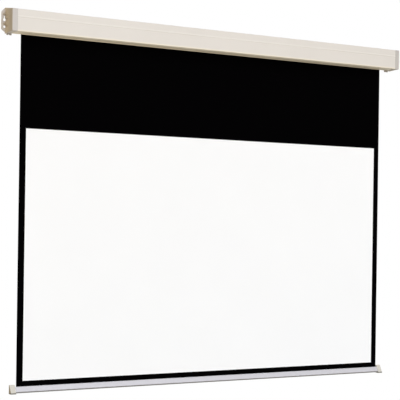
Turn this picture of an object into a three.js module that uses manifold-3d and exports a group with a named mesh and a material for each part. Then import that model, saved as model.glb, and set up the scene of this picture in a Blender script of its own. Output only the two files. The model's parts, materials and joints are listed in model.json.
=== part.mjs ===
// A pull down projector screen: a folded steel casing with moulded end caps, a spring roller with a
// ratchet lock, the screen cloth and its weighted bottom bar.
// Millimetres, +X along the casing, -Y towards the viewer, +Z up. The origin lies on the wall plane,
// at the middle of the casing's back. The screen stands pulled down.
import * as THREE from "three";
import { mergeVertices } from "three/addons/utils/BufferGeometryUtils.js";
import Module from "manifold-3d";

const wasm = await Module();
wasm.setup();

// Clearances and overruns
const fitGap = 0.3;
const runningGap = 0.15;
const layGap = 0.1;
const overrun = 1;
const leastRadius = 0.1;
const weldTolerance = 0.001;

// Screen cloth: the white viewing area, its black borders and the black drop above it
const viewingWidth = 1771;
const viewingHeight = 996;
const sideBorder = 28;
const footBorder = 22;
const blackDrop = 370;
const clothThickness = 0.44;
const coatThickness = 0.12;
const coatGlue = 0.02;
const clothToWall = 11;

// Casing: a folded steel sheet with a slot in its underside, hemmed upwards behind the cloth and with
// a lip that hangs in front of it
const casingHeight = 88;
const casingDepth = 73.7;
const casingWall = 1;
const bendRadius = 2.5;
const footBendRadius = 3;
const hemHeight = 4.5;
const hemBendRadius = 1.5;
const lipDrop = 3;
const slotToWall = 4.5;
const slotWidth = 15;
const beadHeightShare = 0.635;
const beadRise = 0.6;
const beadWidth = 4.6;
const swageStart = 7.5;
const swageWidth = 22;
const swageDepth = 3.4;
const swageSlope = 3;

// End caps: a moulded cup with a spigot inside the casing and a flange against the wall
const capWidth = 23;
const capWall = 2.5;
const spigotLength = 12;
const spigotWall = 2;
const spigotLift = 6;
const earReach = 14.5;
const earThickness = 4;
const earHeadroom = 10;
const earTopChamfer = 15.5;
const earFootChamferWidth = 21;
const earFootChamferHeight = 15;
const flangeDrop = 2;
const webDrop = 5;
const footDrop = 8;
const outerFootWidth = 7;
const outerFootInset = 8;
const innerFootWidth = 9;
const innerFootReach = 5.5;
const keyholeHeight = 6.5;
const keyholeHeadRadius = 6;
const keyholeSlotRadius = 2.6;
const keyholeSlotRise = 13;
const roundHoleDrop = 21;
const roundHoleRadius = 5.1;
const holeToEarEdge = 12.4;
const pocketMargin = 2;
const pocketDepth = 34;
const pocketEndRadius = 3;
const ribThickness = 3;
const ribReach = 11;
const ribDepth = 24;
const upperRibHeight = 30;
const lowerRibDrop = 8;

// Carrier plates, their bosses and screws
const carrierThickness = 2;
const carrierRoom = 3.5;
const bossInset = 18;
const bossRadius = 4.2;
const bossBoreRadius = 1.75;
const bossBoreDepth = 15;
const screwRadius = 1.5;
const screwHeadRadius = 3.2;
const screwHeadHeight = 1.8;
const screwCrownShare = 0.7;
const screwLength = 12;
const capScrewInset = 9;
const capScrewLength = 5.5;
const capScrewDepthShare = 0.5;

// Roller tube and the turns of cloth left on it
const tubeRadius = 19;
const tubeWall = 1.2;
const tubeOverhang = 11.5;
const turnsLeft = 2;

// Idle end
const plugLength = 22;
const plugFlange = 3;
const plugWall = 2.6;
const pinRadius = 4;
const pinChamfer = 0.4;
const pinSeat = 16;
const bushRadius = 7;
const bushFlangeRadius = 10;
const bushFlangeThickness = 2;
const bushNose = 1.2;
const pinNose = 2.4;

// Spring end: fixed rod, torsion spring, ratchet cam and the pawl housing
const endPlay = 10;
const housingSleeve = 18;
const housingFloor = 3;
const housingCup = 10;
const housingWall = 2.2;
const coverThickness = 1.5;
const rodRadius = 3.5;
const rodLength = 412;
const tongueHalf = 2.1;
const tongueLength = 5;
const rodNose = 2;
const collarRadius = 9.6;
const collarThickness = 9;
const collarInset = 3;
const innerPlugThickness = 14;
const innerPlugFromRodEnd = 5;
const springRadius = 8;
const springWire = 1.6;
const springCurls = 40;
const camRadius = 7.5;
const camNotchDepth = 2.9;
const camNotchWidth = 6;
const camNotchLean = 1.2;
const camMargin = 0.6;
const pawlPivotRadius = 12.6;
const pawlInner = 11.6;
const pawlOuter = 14.6;
const pawlEyeRadius = 3;
const pawlToothReach = 3.2;
const pawlToothWidth = 2.6;
const pawlMargin = 2;
const pawlPinRadius = 1.4;
const pawlSweepShare = 0.215;
const pawlToothSweepShare = 0.208;
const camNotchTurnShare = 0.236;

// Bottom bar, the hem of the cloth inside it and its end caps
const barHeight = 25;
const barBack = 4;
const barTopFront = 3.5;
const barFootFront = 14.5;
const barWall = 1.4;
const barEndReach = 5;
const barBackRadius = 2;
const barTopRadius = 1;
const barFootRadius = 3.5;
const barSlotWidth = 1.6;
const hemDepth = 6.2;
const hemLoopRadius = 2.4;
const hemRodRadius = 1.7;
const barCapWidth = 22.5;
const barCapRise = 8;
const barCapDrop = 3;
const barCapProud = 2;
const barCapTopDepth = 5.5;
const barCapToeProud = 3.5;
const barCapSpigot = 16;
const barCapWall = 2;

// Facets
const roundSegments = 48;
const pinSegments = 20;
const arcSteps = 4;
const spiralSteps = 48;
const springSteps = 8;
const springSides = 5;
const pawlSteps = 8;

// Sizes that follow
const halfTurn = Math.PI;
const fullTurn = halfTurn * 2;
const half = casingHeight / 2;
const bossHeights = [half - bossInset, bossInset - half];
const clothWidth = viewingWidth + sideBorder * 2;
const barTop = -half - blackDrop - viewingHeight - footBorder;
const tubeHalf = clothWidth / 2 + tubeOverhang;
const tubeBore = tubeRadius - tubeWall;
const rollRadius = tubeRadius + layGap + clothThickness * turnsLeft;
const rollerY = -clothToWall - rollRadius + clothThickness / 2;
const carrierX = tubeHalf + fitGap + housingFloor + housingCup + coverThickness + endPlay;
const capX = carrierX + carrierThickness + carrierRoom;
const capEnd = capX + capWidth;
const earEnd = capEnd + earReach;
const shellHalf = capX - fitGap;
const rodEnd = carrierX + carrierThickness + rodNose;
const rodStart = rodEnd - rodLength;
const slotFront = slotToWall + slotWidth;

// Axes for outlines drawn in a plane: `sideways` sweeps a Y-Z outline along +X, and `outward` sweeps
// an X-Z outline away from the wall
const axisX = new THREE.Vector3(1, 0, 0);
const axisY = new THREE.Vector3(0, 1, 0);
const axisZ = new THREE.Vector3(0, 0, 1);
const sideways = new THREE.Matrix4().makeBasis(axisY, axisZ, axisX);
const outward = new THREE.Matrix4().makeBasis(axisX, axisZ, axisY.clone().negate());
const lengthwise = new THREE.Matrix4().makeBasis(axisY, axisX, axisZ.clone().negate());

// Finishes
function finish(color, roughness, metalness) {
  return new THREE.MeshStandardMaterial({ color, roughness, metalness });
}

const paintedSteel = () => finish(0xe8e4dc, 0.45, 0);
const mouldedPlastic = () => finish(0xd9d3cd, 0.55, 0);
const zincSteel = () => finish(0xb4b7ba, 0.4, 0.9);
const darkSteel = () => finish(0x55585c, 0.45, 0.9);
const nylon = () => finish(0xe9e6dc, 0.6, 0);
const blackCloth = () => finish(0x0b0b0c, 0.9, 0);
const whiteCoat = () => finish(0xfbfbfb, 0.95, 0);
const barAluminium = () => finish(0xdcd9e0, 0.5, 0.1);

// Outlines

// The turn at corner b between a and c: one point on a sharp corner, or the points of an arc. Each
// has the left-hand normal, long enough on a sharp corner to mitre an offset there.
function turnAt(a, b, c, radius) {
  const into = new THREE.Vector2().subVectors(b, a).normalize();
  const out = new THREE.Vector2().subVectors(c, b).normalize();
  const leftIn = new THREE.Vector2(-into.y, into.x);
  const leftOut = new THREE.Vector2(-out.y, out.x);
  const bend = Math.atan2(into.cross(out), into.dot(out));
  if (!radius) {
    const mitre = leftIn.clone().add(leftOut).divideScalar(1 + leftIn.dot(leftOut));
    return [{ point: b.clone(), normal: mitre }];
  }
  const start = b.clone().addScaledVector(into, -radius * Math.tan(Math.abs(bend) / 2));
  const side = Math.sign(bend);
  const centre = start.clone().addScaledVector(leftIn, radius * side);
  return Array.from({ length: arcSteps + 1 }, (_, i) => {
    const normal = leftIn.clone().rotateAround(new THREE.Vector2(), (bend * i) / arcSteps);
    return { point: centre.clone().addScaledVector(normal, -radius * side), normal };
  });
}

// A closed outline through corners [across, up, radius]
function closedOutline(corners) {
  const points = corners.map(([x, y]) => new THREE.Vector2(x, y));
  const count = points.length;
  const around = points.flatMap((p, i) =>
    turnAt(points[(i + count - 1) % count], p, points[(i + 1) % count], corners[i][2]),
  );
  return new THREE.Shape(around.map((turn) => turn.point));
}

// The outline of a sheet of one thickness, folded through corners [across, up, radius] on its outside
function foldedOutline(corners, thickness) {
  const points = corners.map(([x, y]) => new THREE.Vector2(x, y));
  const last = points.length - 1;
  const along = points.flatMap((p, i) => {
    const before = i ? points[i - 1] : p.clone().multiplyScalar(2).sub(points[1]);
    const after = i < last ? points[i + 1] : p.clone().multiplyScalar(2).sub(points[last - 1]);
    return turnAt(before, p, after, corners[i][2]);
  });
  const outside = along.map((turn) => turn.point);
  const inside = along.map((turn) => turn.point.clone().addScaledVector(turn.normal, thickness));
  return new THREE.Shape([...outside, ...inside.reverse()]);
}

// The corners of a closed outline moved inwards by a distance, or outwards by a negative one
function inset(corners, distance) {
  const points = corners.map(([x, y]) => new THREE.Vector2(x, y));
  const count = points.length;
  return points.map((p, i) => {
    const [{ normal }] = turnAt(points[(i + count - 1) % count], p, points[(i + 1) % count], 0);
    const moved = p.clone().addScaledVector(normal, distance);
    return [moved.x, moved.y, Math.max(corners[i][2] - distance, leastRadius)];
  });
}

function box(low, high, bottom, top, radius = 0) {
  return [
    [high, bottom, radius],
    [high, top, radius],
    [low, top, radius],
    [low, bottom, radius],
  ];
}

function circle(x, y, radius, segments = pinSegments) {
  const points = Array.from({ length: segments }, (_, i) => {
    const angle = (fullTurn * i) / segments;
    return new THREE.Vector2(x + radius * Math.cos(angle), y + radius * Math.sin(angle));
  });
  return new THREE.Shape(points);
}

// Solids

// A Y-Z outline swept along X
function alongX(shape, from, to) {
  const geometry = new THREE.ExtrudeGeometry(shape, { depth: to - from, bevelEnabled: false });
  return geometry.applyMatrix4(sideways).translate(from, 0, 0);
}

// An X-Z outline swept away from the wall
function offWall(shape, from, to) {
  const geometry = new THREE.ExtrudeGeometry(shape, { depth: to - from, bevelEnabled: false });
  return geometry.applyMatrix4(outward).translate(0, -from, 0);
}

// A closed profile of [radius, x], turned about the X axis
function turned(profile, segments = roundSegments) {
  const points = [...profile, profile[0]].map(([radius, x]) => new THREE.Vector2(radius, x));
  return new THREE.LatheGeometry(points, segments).applyMatrix4(lengthwise);
}

function ring(inner, outer, from, to, segments = roundSegments) {
  return turned([[inner, from], [outer, from], [outer, to], [inner, to]], segments);
}

function solidOf(geometry) {
  const bare = geometry.clone();
  bare.deleteAttribute("normal");
  bare.deleteAttribute("uv");
  const merged = mergeVertices(bare, weldTolerance);
  const vertProperties = merged.attributes.position.array;
  const triVerts = new Uint32Array(merged.index.array);
  return new wasm.Manifold(new wasm.Mesh({ numProp: 3, vertProperties, triVerts }));
}

function geometryOf(solid) {
  const { vertProperties, triVerts } = solid.getMesh();
  const geometry = new THREE.BufferGeometry();
  geometry.setAttribute("position", new THREE.BufferAttribute(vertProperties, 3));
  geometry.setIndex(new THREE.BufferAttribute(triVerts, 1));
  geometry.computeVertexNormals();
  return geometry;
}

function join(base, ...others) {
  return geometryOf(others.reduce((whole, g) => whole.add(solidOf(g)), solidOf(base)));
}

function cut(base, ...others) {
  return geometryOf(others.reduce((whole, g) => whole.subtract(solidOf(g)), solidOf(base)));
}

function common(base, other) {
  return geometryOf(solidOf(base).intersect(solidOf(other)));
}

function piece(name, geometry, material) {
  const mesh = new THREE.Mesh(geometry, material);
  mesh.name = name;
  return mesh;
}

// Casing

const casingCorners = [
  [0, -half, bendRadius],
  [0, half, bendRadius],
  [-casingDepth, half, bendRadius],
  [-casingDepth, -half, footBendRadius],
];

function casingShell() {
  const beadMiddle = -half + casingHeight * beadHeightShare;
  const swageNear = -casingDepth + swageStart;
  const swageFar = swageNear + swageWidth;
  const path = [
    [-slotToWall, -half + hemHeight, 0],
    [-slotToWall, -half, hemBendRadius],
    [0, -half, bendRadius],
    [0, half, bendRadius],
    [-casingDepth, half, bendRadius],
    [-casingDepth, beadMiddle + beadWidth / 2, 0],
    [-casingDepth - beadRise, beadMiddle + beadWidth / 4, 0],
    [-casingDepth - beadRise, beadMiddle - beadWidth / 4, 0],
    [-casingDepth, beadMiddle - beadWidth / 2, 0],
    [-casingDepth, -half, footBendRadius],
    [swageNear, -half, 0],
    [swageNear + swageSlope, -half + swageDepth, 0],
    [swageFar - swageSlope, -half + swageDepth, 0],
    [swageFar, -half, 0],
    [-slotFront - casingWall, -half, hemBendRadius],
    [-slotFront - casingWall, -half - lipDrop, 0],
  ];
  const sheet = alongX(foldedOutline(path, casingWall), -shellHalf, shellHalf);
  const screwHoles = [-1, 1].map((side) => screwBore(screwRoom).translate(side * capScrewX, 0, 0));
  return piece("casing_shell", cut(sheet, ...screwHoles), paintedSteel());
}

// The casing's outline made smaller all round, with its bottom lifted over the slot's hems
function innerOutline(distance, lift) {
  const floor = -half + casingWall + lift;
  return closedOutline(inset(casingCorners, distance).map(([y, z, r]) => [y, z < 0 ? floor : z, r]));
}

// End caps, drawn for the right end and mirrored for the left

const capScrewX = capX - capScrewInset;
const capScrewY = -casingDepth * capScrewDepthShare;
const holeX = earEnd - holeToEarEdge;

function taperedPocket(z, radius) {
  const profile = [
    [0, 0],
    [radius, 0],
    [pocketEndRadius, pocketDepth],
    [0, pocketDepth],
  ].map(([r, y]) => new THREE.Vector2(r, y));
  const geometry = new THREE.LatheGeometry([...profile, profile[0]], pinSegments);
  return geometry.rotateX(halfTurn).translate(holeX, 0, z);
}

function pockets(margin) {
  return [
    taperedPocket(keyholeHeight, keyholeHeadRadius + pocketMargin + margin),
    taperedPocket(keyholeHeight + keyholeSlotRise, keyholeHeadRadius + margin),
    taperedPocket(-roundHoleDrop, roundHoleRadius + pocketMargin + margin),
  ];
}

// The flange's outline, with two feet below the cup and a web between them
function flangeCorners() {
  const foot = -half - flangeDrop;
  const web = -half - webDrop;
  const sole = -half - footDrop;
  const footOuter = capEnd - outerFootInset;
  const footInner = footOuter - outerFootWidth;
  const tabInner = capX - innerFootReach;
  const tabOuter = tabInner + innerFootWidth;
  return [
    [tabInner, -half - fitGap * 2, 0],
    [tabInner, sole, 0],
    [tabOuter, sole, 0],
    [tabOuter, web, 0],
    [footInner, web, 0],
    [footInner, sole, 0],
    [footOuter, sole, 0],
    [footOuter, foot, 0],
    [earEnd - earFootChamferWidth, foot, 0],
    [earEnd, foot + earFootChamferHeight, bendRadius],
    [earEnd, half + earHeadroom - earTopChamfer, bendRadius],
    [earEnd - earTopChamfer, half + earHeadroom, bendRadius],
    [capX, half + earHeadroom, bendRadius],
    [capX, -half - fitGap * 2, 0],
  ];
}

// A triangular rib between the cup's side and the ear
function earRib(z) {
  const outline = new THREE.Shape([
    new THREE.Vector2(capEnd - capWall, earThickness / 2),
    new THREE.Vector2(capEnd - capWall, ribDepth),
    new THREE.Vector2(capEnd, ribDepth),
    new THREE.Vector2(capEnd + ribReach, earThickness),
    new THREE.Vector2(capEnd + ribReach, earThickness / 2),
  ].reverse());
  const geometry = new THREE.ExtrudeGeometry(outline, { depth: ribThickness, bevelEnabled: false });
  const flat = new THREE.Matrix4().makeBasis(axisX, axisY.clone().negate(), axisZ.clone().negate());
  return geometry.applyMatrix4(flat).translate(0, 0, z + ribThickness / 2);
}

// The part of the cap that slides into the casing
function capSpigot() {
  const reach = casingWall + fitGap;
  const from = capX - spigotLength;
  const to = capX + capWall;
  return cut(
    alongX(innerOutline(reach, spigotLift), from, to),
    alongX(innerOutline(reach + spigotWall, spigotLift + spigotWall), from - overrun, to + overrun),
  );
}

// Two rods along X at the carrier screws' places: the bosses, their bores or the carrier's holes
function atBosses(radius, from, to) {
  return bossHeights.map((z) => alongX(circle(rollerY, z, radius), from, to));
}

// The keyhole and the round hole that go through the ear
function wallHoles() {
  const slotTop = keyholeHeight + keyholeSlotRise;
  const slot = box(holeX - keyholeSlotRadius, holeX + keyholeSlotRadius, keyholeHeight, slotTop);
  const outlines = [
    circle(holeX, keyholeHeight, keyholeHeadRadius),
    closedOutline(slot),
    circle(holeX, slotTop, keyholeSlotRadius),
    circle(holeX, -roundHoleDrop, roundHoleRadius),
  ];
  return outlines.map((outline) => offWall(outline, -overrun, pocketDepth / 2));
}

function rightCapGeometry() {
  const block = alongX(closedOutline(casingCorners), capX, capEnd);
  const hollow = alongX(closedOutline(inset(casingCorners, capWall)), capX - overrun, capEnd - capWall);
  const bossFrom = carrierX + carrierThickness + fitGap;
  const bosses = atBosses(bossRadius, bossFrom, capEnd - capWall / 2);
  const flange = offWall(closedOutline(flangeCorners()), 0, earThickness);
  const pocketShells = pockets(capWall).map((pocket) => common(pocket, block));
  const ribs = [upperRibHeight, -lowerRibDrop].map(earRib);
  const body = join(cut(block, hollow), capSpigot(), ...bosses, ...pocketShells, flange, ...ribs);
  const scoops = pockets(0).map((pocket) => pocket.translate(0, -earThickness, 0));
  const bossBores = atBosses(bossBoreRadius, bossFrom - overrun, bossFrom + bossBoreDepth);
  const screwHole = screwBore(bossBoreRadius).translate(capScrewX, 0, 0);
  return cut(body, ...scoops, ...wallHoles(), ...bossBores, screwHole);
}

function endCaps() {
  const geometry = rightCapGeometry();
  const right = piece("right_end_cap", geometry, mouldedPlastic());
  const left = piece("left_end_cap", geometry, mouldedPlastic());
  left.scale.x = -1;
  return [left, right];
}

// Screws

const screwRoom = screwRadius + fitGap;

// A hole straight down through the casing's top
function screwBore(radius) {
  const depth = casingWall + fitGap + spigotWall + overrun * 2;
  const geometry = new THREE.CylinderGeometry(radius, radius, depth, pinSegments);
  return geometry.rotateX(halfTurn / 2).translate(0, capScrewY, half + overrun - depth / 2);
}

// A pan head screw along X, with the underside of its head at zero and its shank towards +X
function panScrew(length) {
  const profile = [
    [0, -screwHeadHeight],
    [screwHeadRadius * screwCrownShare, -screwHeadHeight],
    [screwHeadRadius, -screwHeadHeight / 2],
    [screwHeadRadius, 0],
    [screwRadius, 0],
    [screwRadius, length - screwRadius],
    [0, length],
  ];
  return turned(profile, pinSegments);
}

function capScrews() {
  return [["left", -1], ["right", 1]].map(([name, side]) => {
    const screw = piece(`${name}_cap_screw`, panScrew(capScrewLength), zincSteel());
    screw.rotation.y = halfTurn / 2;
    screw.position.set(side * capScrewX, capScrewY, half + runningGap);
    return screw;
  });
}

function carrierScrews() {
  return [["left", -1], ["right", 1]].flatMap(([end, side]) =>
    ["upper", "lower"].map((level, i) => {
      const screw = piece(`${end}_carrier_screw_${level}`, panScrew(screwLength), zincSteel());
      screw.scale.x = side;
      screw.position.set(side * (carrierX - runningGap), rollerY, bossHeights[i]);
      return screw;
    }),
  );
}

// Carrier plates that hold the roller's ends

function carrier(name, holeOutline) {
  const room = casingWall + fitGap + spigotWall + fitGap;
  const outline = innerOutline(room, spigotLift + spigotWall + fitGap);
  const plate = alongX(outline, carrierX, carrierX + carrierThickness);
  const from = carrierX - overrun;
  const to = carrierX + carrierThickness + overrun;
  const holes = [alongX(holeOutline, from, to), ...atBosses(screwRoom, from, to)];
  return piece(name, cut(plate, ...holes), zincSteel());
}

// The left plate holds the idle bush, the right one the rod's tongue
function carriers() {
  const wide = rodRadius + runningGap;
  const high = tongueHalf + runningGap;
  const left = carrier("left_carrier", circle(rollerY, 0, bushRadius + runningGap, roundSegments));
  left.scale.x = -1;
  return [left, carrier("right_carrier", closedOutline(box(rollerY - wide, rollerY + wide, -high, high)))];
}

// Idle end, in the roller's frame

function idleBush() {
  const face = -carrierX + fitGap;
  const nose = -carrierX - carrierThickness - bushNose;
  const bore = pinRadius + runningGap;
  const profile = [
    [bore, nose],
    [bushRadius, nose],
    [bushRadius, face],
    [bushFlangeRadius, face],
    [bushFlangeRadius, face + bushFlangeThickness],
    [bore, face + bushFlangeThickness],
  ];
  return piece("idle_bush", turned(profile), nylon());
}

function idlePlug() {
  const inner = -tubeHalf + plugLength;
  const seat = -tubeHalf - fitGap;
  const bore = pinRadius + layGap;
  const hollow = tubeBore - runningGap - plugWall;
  const floor = -tubeHalf + pinSeat;
  const profile = [
    [bore, seat - plugFlange],
    [tubeRadius, seat - plugFlange],
    [tubeRadius, seat],
    [tubeBore - runningGap, seat],
    [tubeBore - runningGap, inner],
    [hollow, inner],
    [hollow, floor],
    [bore, floor],
  ];
  return piece("idle_plug", turned(profile), nylon());
}

function idlePin() {
  const from = -carrierX - carrierThickness - pinNose;
  const to = -tubeHalf + pinSeat - overrun;
  const profile = [
    [0, from],
    [pinRadius - pinChamfer, from],
    [pinRadius, from + pinChamfer],
    [pinRadius, to],
    [0, to],
  ];
  return piece("idle_pin", turned(profile), zincSteel());
}

// Roller tube and cloth

function rollerTube() {
  return piece("roller_tube", ring(tubeBore, tubeRadius, -tubeHalf, tubeHalf), zincSteel());
}

// The turns of cloth left on the tube, as one band whose outside steps down by one thickness where
// the hanging cloth leaves it
function clothWraps() {
  const outside = Array.from({ length: spiralSteps + 1 }, (_, i) => {
    const turn = i / spiralSteps;
    const radius = rollRadius - (clothThickness + layGap) * turn;
    return new THREE.Vector2(radius * Math.cos(turn * fullTurn), radius * Math.sin(turn * fullTurn));
  });
  const shape = new THREE.Shape(outside);
  const bore = circle(0, 0, tubeRadius + layGap / 2, roundSegments);
  shape.holes.push(new THREE.Path(bore.getPoints().reverse()));
  return piece("cloth_wraps", alongX(shape, -clothWidth / 2, clothWidth / 2), blackCloth());
}

// A flat sheet hung from height `top` to `bottom`, with its back at a distance from the wall
function hangingSheet(width, back, thickness, top, bottom) {
  const outline = closedOutline(box(-width / 2, width / 2, bottom, top));
  return offWall(outline, back, back + thickness);
}

function screenCloth() {
  const back = clothToWall - clothThickness / 2;
  const sheet = hangingSheet(clothWidth, back, clothThickness, -fitGap, barTop + fitGap);
  return piece("screen_cloth", sheet, blackCloth());
}

function viewingFace() {
  const back = clothToWall + clothThickness / 2 + coatGlue;
  const top = -half - blackDrop;
  const sheet = hangingSheet(viewingWidth, back, coatThickness, top, top - viewingHeight);
  return piece("viewing_face", sheet, whiteCoat());
}

// Spring end, in the roller's frame

const housingStart = tubeHalf + fitGap;
const housingFloorEnd = housingStart + housingFloor;
const housingEnd = housingFloorEnd + housingCup;
const coverStart = housingEnd + layGap;

function springRod() {
  const rod = turned([[0, rodStart], [rodRadius, rodStart], [rodRadius, rodEnd], [0, rodEnd]]);
  const from = rodEnd - tongueLength;
  const flats = [1, -1].map((side) => {
    const low = side > 0 ? tongueHalf : -rodRadius - overrun;
    const high = side > 0 ? rodRadius + overrun : -tongueHalf;
    const outline = box(-rodRadius - overrun, rodRadius + overrun, low, high);
    return alongX(closedOutline(outline), from, rodEnd + overrun);
  });
  return piece("spring_rod", cut(rod, ...flats), zincSteel());
}

function innerPlug() {
  const from = rodStart + innerPlugFromRodEnd;
  const bore = rodRadius + runningGap;
  const rim = tubeBore - runningGap;
  return piece("inner_plug", ring(bore, rim, from, from + innerPlugThickness), nylon());
}

function springCollar() {
  const to = tubeHalf - housingSleeve - collarInset;
  const collar = ring(rodRadius + layGap, collarRadius, to - collarThickness, to);
  return piece("spring_collar", collar, darkSteel());
}

// The spring's centre line, a helix about the rod
class SpringLine extends THREE.Curve {
  constructor(from, to, radius, curls) {
    super();
    Object.assign(this, { from, to, radius, curls });
  }

  getPoint(t, target = new THREE.Vector3()) {
    const angle = t * this.curls * fullTurn;
    const x = this.from + (this.to - this.from) * t;
    return target.set(x, this.radius * Math.cos(angle), this.radius * Math.sin(angle));
  }
}

function torsionSpring() {
  const seat = springWire / 2 + fitGap;
  const from = rodStart + innerPlugFromRodEnd + innerPlugThickness + seat;
  const to = tubeHalf - housingSleeve - collarInset - collarThickness - seat;
  const line = new SpringLine(from, to, springRadius, springCurls);
  const steps = springCurls * springSteps;
  const wire = circle(0, 0, springWire / 2, springSides);
  const geometry = new THREE.ExtrudeGeometry(wire, { steps, extrudePath: line });
  const points = line.getPoints(steps);
  const gaps = points.slice(springSteps).map((p, i) => p.distanceTo(points[i]) - springWire);
  console.log(`torsion_spring: least gap between curls ${Math.min(...gaps).toFixed(2)} mm`);
  return piece("torsion_spring", geometry, darkSteel());
}

function pawlHousing() {
  const sleeve = tubeBore - runningGap;
  const profile = [
    [rodRadius + fitGap, housingStart],
    [sleeve - housingWall, housingStart],
    [sleeve - housingWall, tubeHalf - housingSleeve],
    [sleeve, tubeHalf - housingSleeve],
    [sleeve, housingStart],
    [tubeRadius, housingStart],
    [tubeRadius, housingEnd],
    [tubeRadius - housingWall, housingEnd],
    [tubeRadius - housingWall, housingFloorEnd],
    [rodRadius + fitGap, housingFloorEnd],
  ];
  return piece("pawl_housing", turned(profile), nylon());
}

function housingCover() {
  const cover = ring(rodRadius + fitGap, tubeRadius, coverStart, coverStart + coverThickness);
  return piece("housing_cover", cover, zincSteel());
}

// The fixed ratchet cam: a disc with two notches, one for each pawl
function ratchetCam() {
  const from = housingFloorEnd + camMargin;
  const to = housingEnd - camMargin;
  const disc = ring(rodRadius + layGap, camRadius, from, to);
  const notches = [0, halfTurn].map((turn) => {
    const deep = camRadius - camNotchDepth;
    const outline = new THREE.Shape([
      new THREE.Vector2(deep, -camNotchWidth / 2 + camNotchLean),
      new THREE.Vector2(camRadius + overrun, -camNotchWidth / 2),
      new THREE.Vector2(camRadius + overrun, camNotchWidth / 2),
      new THREE.Vector2(deep, camNotchWidth / 2 - camNotchLean),
    ]);
    const angle = fullTurn * camNotchTurnShare + turn;
    return alongX(outline, from - overrun, to + overrun).rotateX(angle);
  });
  return piece("ratchet_cam", cut(disc, ...notches), darkSteel());
}

// One pawl: an eye on its pin, an arm that follows the housing's wall and a tooth that points inwards
function pawlGeometry() {
  const from = housingFloorEnd + pawlMargin;
  const to = housingEnd - pawlMargin;
  const sweep = fullTurn * pawlSweepShare;
  const arc = (radius, i) => {
    const angle = (sweep * i) / pawlSteps;
    return new THREE.Vector2(radius * Math.cos(angle), radius * Math.sin(angle));
  };
  const steps = Array.from({ length: pawlSteps + 1 }, (_, i) => i);
  const outer = steps.map((i) => arc(pawlOuter, i));
  const inner = steps.map((i) => arc(pawlInner, i)).reverse();
  const arm = alongX(new THREE.Shape([...outer, ...inner]), from, to);
  const eye = alongX(circle(pawlPivotRadius, 0, pawlEyeRadius), from, to);
  const tip = pawlInner - pawlToothReach;
  const tooth = new THREE.Shape([
    new THREE.Vector2(tip, -pawlToothWidth / 4),
    new THREE.Vector2(pawlInner + layGap, -pawlToothWidth / 2),
    new THREE.Vector2(pawlInner + layGap, pawlToothWidth / 2),
    new THREE.Vector2(tip, pawlToothWidth / 4),
  ]);
  const toothGeometry = alongX(tooth, from, to).rotateX(fullTurn * pawlToothSweepShare);
  const boreOutline = circle(pawlPivotRadius, 0, pawlPinRadius + runningGap);
  return cut(join(arm, eye, toothGeometry), alongX(boreOutline, from - overrun, to + overrun));
}

function pawlsAndPins() {
  const from = housingFloorEnd + layGap;
  const to = coverStart - layGap;
  return [["rear", 0], ["front", halfTurn]].flatMap(([name, turn]) => {
    const pin = alongX(circle(pawlPivotRadius, 0, pawlPinRadius), from, to).rotateX(turn);
    return [
      piece(`${name}_pawl`, pawlGeometry().rotateX(turn), darkSteel()),
      piece(`${name}_pawl_pin`, pin, zincSteel()),
    ];
  });
}

// Bottom bar, in its own frame: zero lies on the cloth's plane at the bar's top

const barCorners = [
  [barBack, -barHeight, barBackRadius],
  [barBack, 0, barTopRadius],
  [-barTopFront, 0, barTopRadius],
  [-barFootFront, -barHeight, barFootRadius],
];
const barHalf = clothWidth / 2 + barEndReach;

function bottomBar() {
  const outside = alongX(closedOutline(barCorners), -barHalf, barHalf);
  const hollow = alongX(closedOutline(inset(barCorners, barWall)), -barHalf - overrun, barHalf + overrun);
  const slot = box(-barSlotWidth / 2, barSlotWidth / 2, -barWall - overrun, overrun);
  const opening = alongX(closedOutline(slot), -barHalf - overrun, barHalf + overrun);
  return piece("bottom_bar", cut(outside, hollow, opening), barAluminium());
}

function clothHem() {
  const halfWidth = clothWidth / 2;
  const loop = alongX(circle(0, -hemDepth, hemLoopRadius), -halfWidth, halfWidth);
  const bore = alongX(
    circle(0, -hemDepth, hemLoopRadius - clothThickness),
    -halfWidth - overrun,
    halfWidth + overrun,
  );
  const foot = -hemDepth + hemLoopRadius - clothThickness / 2;
  const strip = closedOutline(box(-clothThickness / 2, clothThickness / 2, foot, -layGap));
  const tail = alongX(strip, -halfWidth, halfWidth);
  return piece("cloth_hem", cut(join(loop, tail), bore), blackCloth());
}

function hemRod() {
  const reach = clothWidth / 2;
  return piece("hem_rod", alongX(circle(0, -hemDepth, hemRodRadius), -reach, reach), zincSteel());
}

function barCaps() {
  const slope = (barFootFront - barTopFront) / barHeight;
  const capBack = barBack + barCapProud;
  const capCorners = [
    [capBack, -barHeight - barCapDrop, barBackRadius],
    [capBack, barCapRise, barBackRadius],
    [capBack - barCapTopDepth, barCapRise, barBackRadius],
    [-barFootFront - barCapToeProud, -barHeight - barCapDrop, barFootRadius],
  ];
  const start = barHalf + fitGap;
  const end = start + barCapWidth;
  const block = alongX(closedOutline(capCorners), start, end);
  const inside = closedOutline(inset(capCorners, barCapWall));
  const hollow = alongX(inside, start + barCapWall, end - barCapWall);
  const underHem = -hemDepth - hemLoopRadius - fitGap;
  const [heel, , , toe] = inset(barCorners, barWall + fitGap);
  const spigotCorners = [
    heel,
    [heel[0], underHem, barTopRadius],
    [toe[0] + slope * (underHem - toe[1]), underHem, barTopRadius],
    toe,
  ];
  const spigotFrom = start - barCapSpigot;
  const spigot = alongX(closedOutline(spigotCorners), spigotFrom, start + barCapWall / 2);
  const bore = closedOutline(inset(spigotCorners, barCapWall));
  const vent = alongX(bore, spigotFrom - overrun, end - barCapWall);
  const geometry = cut(join(block, spigot), hollow, vent);
  const right = piece("right_bar_cap", geometry, mouldedPlastic());
  const left = piece("left_bar_cap", geometry, mouldedPlastic());
  left.scale.x = -1;
  return [left, right];
}

// Assembly

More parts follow.
